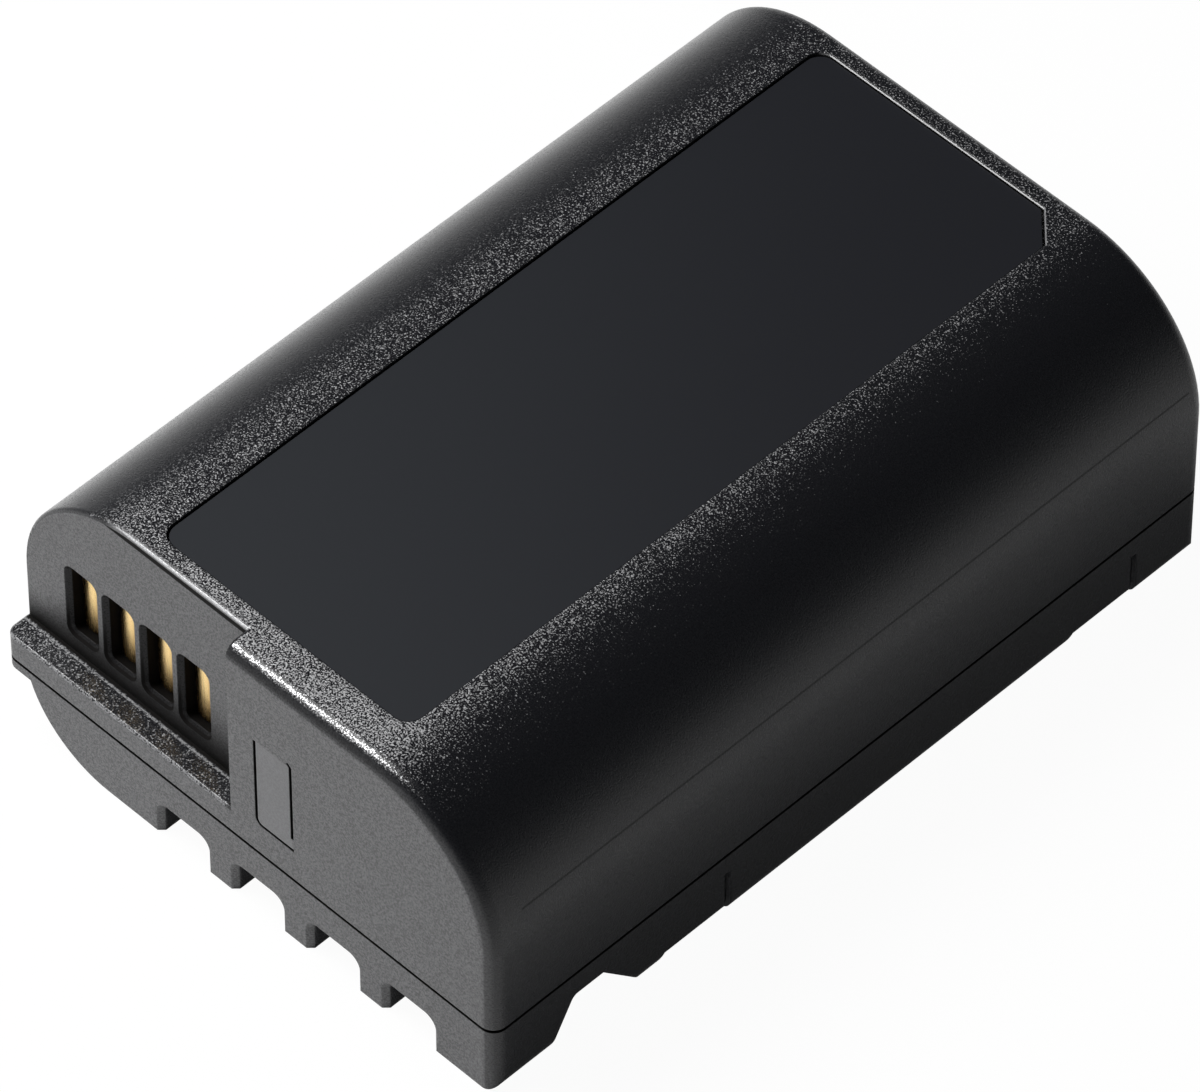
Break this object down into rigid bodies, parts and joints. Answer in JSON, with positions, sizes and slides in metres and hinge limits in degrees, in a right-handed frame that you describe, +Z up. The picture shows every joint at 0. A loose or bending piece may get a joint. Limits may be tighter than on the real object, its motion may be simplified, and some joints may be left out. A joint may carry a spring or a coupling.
{
  "type": "camera battery",
  "caption": "Flat rechargeable camera battery with rounded shoulders, a stepped contact end with slotted gold contacts, a sunk label, a guide rail and keyed notches along the underside.",
  "frame": {"origin": "middle of the underside's bounding box, on the surface the pack lies on", "axes": "X across the width with the contact recess towards -X, Y along the length with the contact end at -Y, Z up through the label"},
  "size_m": [0.04, 0.058, 0.0214],
  "materials": {
    "case": "spark-eroded texture on top, fine matt on the ends",
    "label": "smooth satin film",
    "contact_gold": "gold plating, polished",
    "holder": "plain moulded",
    "cell_can": "nickel-plated steel",
    "paper": "pressed paper",
    "nickel": "plain nickel strip",
    "board": "solder resist over glass-fibre laminate",
    "chip": "moulded epoxy",
    "fuse_body": "ceramic",
    "resistor_body": "coated metal strip",
    "bead": "epoxy-dipped",
    "ceramic": "fired ceramic",
    "sheet": "pressed insulating sheet",
    "foam": "closed-cell foam"
  },
  "bodies": {
    "root": {"upper_case": "case", "lower_case": "case", "top_label": "label", "contact_1": "contact_gold", "contact_2": "contact_gold", "contact_3": "contact_gold", "contact_4": "contact_gold", "contact_holder": "holder", "cell_left": "cell_can", "cell_right": "cell_can", "cell_ring_left": "paper", "cell_ring_right": "paper", "negative_tab": "nickel", "positive_tab": "nickel", "rear_strap": "nickel", "centre_tap": "nickel", "circuit_board": "board", "control_chip": "chip", "power_switch_1": "chip", "power_switch_2": "chip", "fuse": "fuse_body", "sense_resistor": "resistor_body", "thermistor": "bead", "capacitors": "ceramic", "front_sheet": "sheet", "rear_sheet": "sheet", "upper_foam_left": "foam", "upper_foam_right": "foam", "lower_foam_left": "foam", "lower_foam_right": "foam"}
  },
  "joints": []
}
